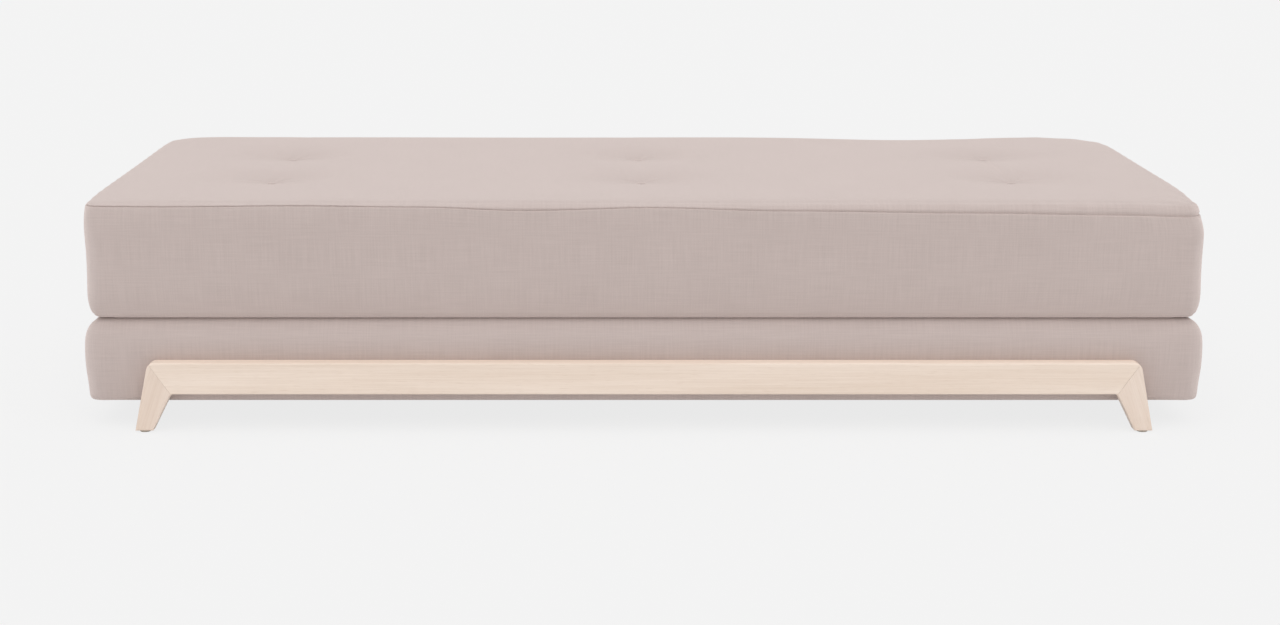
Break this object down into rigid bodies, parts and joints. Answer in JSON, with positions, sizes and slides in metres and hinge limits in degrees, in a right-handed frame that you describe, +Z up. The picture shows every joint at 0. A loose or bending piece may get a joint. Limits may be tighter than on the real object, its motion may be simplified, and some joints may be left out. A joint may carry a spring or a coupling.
{
  "type": "sofa bed",
  "caption": "Low upholstered sofa bed: a tufted mattress lies on a padded base with splayed timber trestles, and turns over onto the floor in front to make a double bed.",
  "frame": {"origin": "on the floor under the middle of the sofa bed, folded up", "axes": "+X along the length to the right as seen from the front, front towards -Y, +Z up"},
  "size_m": [2, 0.8512, 0.4136],
  "materials": {
    "linen": "matte",
    "pale_wood": "satin",
    "frame_timber": "matte",
    "foam": "matte",
    "wadding": "matte",
    "underlining": "matte",
    "webbing": "matte",
    "twine": "matte",
    "felt": "matte",
    "zinc": "satin"
  },
  "bodies": {
    "base": {"front_rail": "pale_wood", "rear_rail": "pale_wood", "front_left_leg": "pale_wood", "front_right_leg": "pale_wood", "rear_left_leg": "pale_wood", "rear_right_leg": "pale_wood", "front_left_tenon": "frame_timber", "front_right_tenon": "frame_timber", "rear_left_tenon": "frame_timber", "rear_right_tenon": "frame_timber", "front_left_glide": "felt", "front_right_glide": "felt", "rear_left_glide": "felt", "rear_right_glide": "felt", "front_rail_bolt_1": "zinc", "front_rail_bolt_2": "zinc", "front_rail_bolt_3": "zinc", "rear_rail_bolt_1": "zinc", "rear_rail_bolt_2": "zinc", "rear_rail_bolt_3": "zinc", "front_board": "frame_timber", "rear_board": "frame_timber", "left_board": "frame_timber", "right_board": "frame_timber", "left_brace": "frame_timber", "right_brace": "frame_timber", "front_ledger": "frame_timber", "rear_ledger": "frame_timber", "front_left_corner_block": "frame_timber", "front_right_corner_block": "frame_timber", "rear_left_corner_block": "frame_timber", "rear_right_corner_block": "frame_timber", "slat_1": "frame_timber", "slat_2": "frame_timber", "slat_3": "frame_timber", "slat_4": "frame_timber", "slat_5": "frame_timber", "slat_6": "frame_timber", "slat_7": "frame_timber", "base_pad": "foam", "base_wrap": "wadding", "base_cover": "linen", "dust_cover": "underlining"},
    "hinge_strap": {"hinge_strap": "webbing"},
    "mattress": {"mattress_core": "foam", "mattress_top_panel": "linen", "mattress_border": "linen", "mattress_bottom_panel": "linen", "tuft_button_1": "linen", "tuft_button_2": "linen", "tuft_button_3": "linen", "tuft_button_4": "linen", "tuft_button_5": "linen", "tuft_button_6": "linen", "tuft_tie_1": "twine", "tuft_tie_2": "twine", "tuft_tie_3": "twine", "tuft_tie_4": "twine", "tuft_tie_5": "twine", "tuft_tie_6": "twine"}
  },
  "joints": [
    {"name": "strap_slide", "type": "slide", "parent": "base", "child": "hinge_strap", "axis": [0, -1, 0], "range_m": [0, 0.06]},
    {"name": "mattress_fold", "type": "hinge", "parent": "hinge_strap", "child": "mattress", "pos_m": [0, -0.385, 0.2075], "axis": [1, 0, 0], "range_deg": [0, 180]}
  ],
  "couplings": [
    {"joint": "strap_slide", "follows": "mattress_fold", "m_per_rad": 0.019098}
  ]
}
